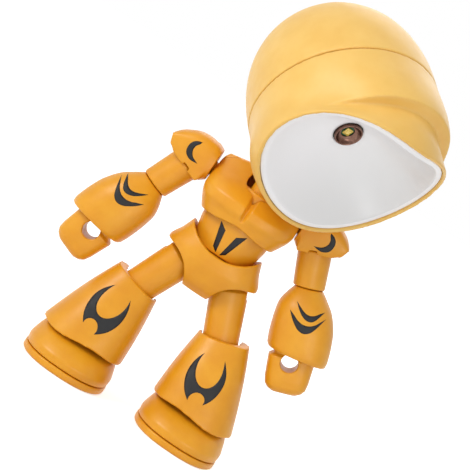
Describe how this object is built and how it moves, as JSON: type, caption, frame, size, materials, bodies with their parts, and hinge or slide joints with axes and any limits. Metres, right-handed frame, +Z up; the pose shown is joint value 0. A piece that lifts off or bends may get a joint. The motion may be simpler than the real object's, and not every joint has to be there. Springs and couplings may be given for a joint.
{
  "type": "robot shaped desk lamp",
  "caption": "Jointed robot figure whose hooded head is a battery LED lamp, standing on two wide feet, with swivelling neck, arms, hands, legs and a push switch behind the head.",
  "frame": {"origin": "middle of the bounding box bottom face, on the surface that the feet stand on", "axes": "+Z up, the robot faces -Y, its left side is +X"},
  "size_m": [0.128, 0.0944, 0.1973],
  "materials": {
    "head_yellow": "satin moulded, fine grain",
    "button_yellow": "satin moulded",
    "body_orange": "satin moulded, slightly soft",
    "reflector_white": "smooth white",
    "led_bezel": "dark bright plating",
    "led_lens": "clear over yellow phosphor",
    "circuit_board": "solder mask",
    "battery_jacket": "plain printed jacket",
    "nickel_contact": "nickel plated",
    "steel": "zinc plated",
    "black_plastic": "moulded"
  },
  "bodies": {
    "pelvis": {"pelvis": "body_orange"},
    "torso": {"chest_front": "body_orange", "chest_back": "body_orange", "chest_screw_left": "steel", "chest_screw_right": "steel", "neck_collar": "body_orange", "abdomen": "body_orange"},
    "neck": {"neck_post": "body_orange"},
    "head": {"crown_shell": "head_yellow", "hood_shell": "head_yellow", "reflector": "reflector_white", "led_cup": "led_bezel", "led_emitter": "led_lens", "led_board": "circuit_board", "battery_tray": "black_plastic", "battery_cell_1": "battery_jacket", "battery_cell_2": "battery_jacket", "battery_cell_3": "battery_jacket", "contact_strip_left": "nickel_contact", "contact_strip_right": "nickel_contact", "switch_body": "black_plastic", "head_screw_left": "steel", "head_screw_right": "steel", "neck_pin": "steel"},
    "button": {"power_button": "button_yellow"},
    "shoulder_left": {"shoulder_pad_left": "body_orange", "arm_pin_left": "steel"},
    "upper_arm_left": {"upper_arm_left": "body_orange"},
    "forearm_left": {"forearm_left": "body_orange"},
    "hand_left": {"fist_left": "body_orange"},
    "hip_left": {"hip_knuckle_left": "body_orange", "hip_pin_left": "steel"},
    "thigh_left": {"thigh_left": "body_orange"},
    "shin_left": {"shin_left": "body_orange", "knee_pin_left": "steel", "ankle_pin_left": "steel"},
    "foot_left": {"foot_upper_left": "body_orange", "foot_sole_left": "body_orange"},
    "shoulder_right": {"shoulder_pad_right": "body_orange", "arm_pin_right": "steel"},
    "upper_arm_right": {"upper_arm_right": "body_orange"},
    "forearm_right": {"forearm_right": "body_orange"},
    "hand_right": {"fist_right": "body_orange"},
    "hip_right": {"hip_knuckle_right": "body_orange", "hip_pin_right": "steel"},
    "thigh_right": {"thigh_right": "body_orange"},
    "shin_right": {"shin_right": "body_orange", "knee_pin_right": "steel", "ankle_pin_right": "steel"},
    "foot_right": {"foot_upper_right": "body_orange", "foot_sole_right": "body_orange"}
  },
  "joints": [
    {"name": "waist_turn", "type": "hinge", "parent": "pelvis", "child": "torso", "pos_m": [0, 0.01949, 0.082], "axis": [0, 0, 1], "range_deg": [-25, 25]},
    {"name": "head_turn", "type": "hinge", "parent": "torso", "child": "neck", "pos_m": [0, 0.01449, 0.098], "axis": [0, 0, 1], "range_deg": [-81, 1]},
    {"name": "head_tilt", "type": "hinge", "parent": "neck", "child": "head", "pos_m": [0, 0.01449, 0.1254], "axis": [0.7705, 0.6374, 0], "range_deg": [-40, 1]},
    {"name": "power_button_press", "type": "slide", "parent": "head", "child": "button", "axis": [0.5487, -0.6632, -0.509], "range_m": [0, 0.0012], "stiffness_N_per_m": 400, "springref_m": -0.0006},
    {"name": "left_shoulder_swing", "type": "hinge", "parent": "torso", "child": "shoulder_left", "pos_m": [0.0225, 0.02299, 0.105], "axis": [1, 0, 0], "range_deg": [-60, 45]},
    {"name": "left_arm_raise", "type": "hinge", "parent": "shoulder_left", "child": "upper_arm_left", "pos_m": [0.032, 0.02299, 0.102], "axis": [0, -1, 0], "range_deg": [-5, 35]},
    {"name": "left_elbow_turn", "type": "hinge", "parent": "upper_arm_left", "child": "forearm_left", "pos_m": [0.03923, 0.02299, 0.08579], "axis": [0.3502, 0, -0.9367], "range_deg": [-90, 90]},
    {"name": "left_wrist_turn", "type": "hinge", "parent": "forearm_left", "child": "hand_left", "pos_m": [0.04827, 0.02299, 0.06162], "axis": [0.3502, 0, -0.9367], "range_deg": [-90, 90]},
    {"name": "left_hip_swing", "type": "hinge", "parent": "pelvis", "child": "hip_left", "pos_m": [0.0109, 0.01949, 0.069], "axis": [1, 0, 0], "range_deg": [-32, 30]},
    {"name": "left_hip_spread", "type": "hinge", "parent": "hip_left", "child": "thigh_left", "pos_m": [0.0109, 0.01949, 0.069], "axis": [0, -1, 0], "range_deg": [-3, 10]},
    {"name": "left_knee_bend", "type": "hinge", "parent": "thigh_left", "child": "shin_left", "pos_m": [0.02183, 0.01949, 0.04398], "axis": [0.9164, 0, 0.4003], "range_deg": [0, 55]},
    {"name": "left_ankle_tilt", "type": "hinge", "parent": "shin_left", "child": "foot_left", "pos_m": [0.02723, 0.01949, 0.02098], "axis": [1, 0, 0], "range_deg": [-2.5, 2.5]},
    {"name": "right_shoulder_swing", "type": "hinge", "parent": "torso", "child": "shoulder_right", "pos_m": [-0.0225, 0.02299, 0.105], "axis": [1, 0, 0], "range_deg": [-60, 45]},
    {"name": "right_arm_raise", "type": "hinge", "parent": "shoulder_right", "child": "upper_arm_right", "pos_m": [-0.032, 0.02299, 0.102], "axis": [0, 1, 0], "range_deg": [-5, 35]},
    {"name": "right_elbow_turn", "type": "hinge", "parent": "upper_arm_right", "child": "forearm_right", "pos_m": [-0.03923, 0.02299, 0.08579], "axis": [-0.3502, 0, -0.9367], "range_deg": [-90, 90]},
    {"name": "right_wrist_turn", "type": "hinge", "parent": "forearm_right", "child": "hand_right", "pos_m": [-0.04827, 0.02299, 0.06162], "axis": [-0.3502, 0, -0.9367], "range_deg": [-90, 90]},
    {"name": "right_hip_swing", "type": "hinge", "parent": "pelvis", "child": "hip_right", "pos_m": [-0.0109, 0.01949, 0.069], "axis": [1, 0, 0], "range_deg": [-32, 30]},
    {"name": "right_hip_spread", "type": "hinge", "parent": "hip_right", "child": "thigh_right", "pos_m": [-0.0109, 0.01949, 0.069], "axis": [0, 1, 0], "range_deg": [-3, 10]},
    {"name": "right_knee_bend", "type": "hinge", "parent": "thigh_right", "child": "shin_right", "pos_m": [-0.02183, 0.01949, 0.04398], "axis": [0.9164, 0, -0.4003], "range_deg": [0, 55]},
    {"name": "right_ankle_tilt", "type": "hinge", "parent": "shin_right", "child": "foot_right", "pos_m": [-0.02723, 0.01949, 0.02098], "axis": [1, 0, 0], "range_deg": [-2.5, 2.5]}
  ]
}
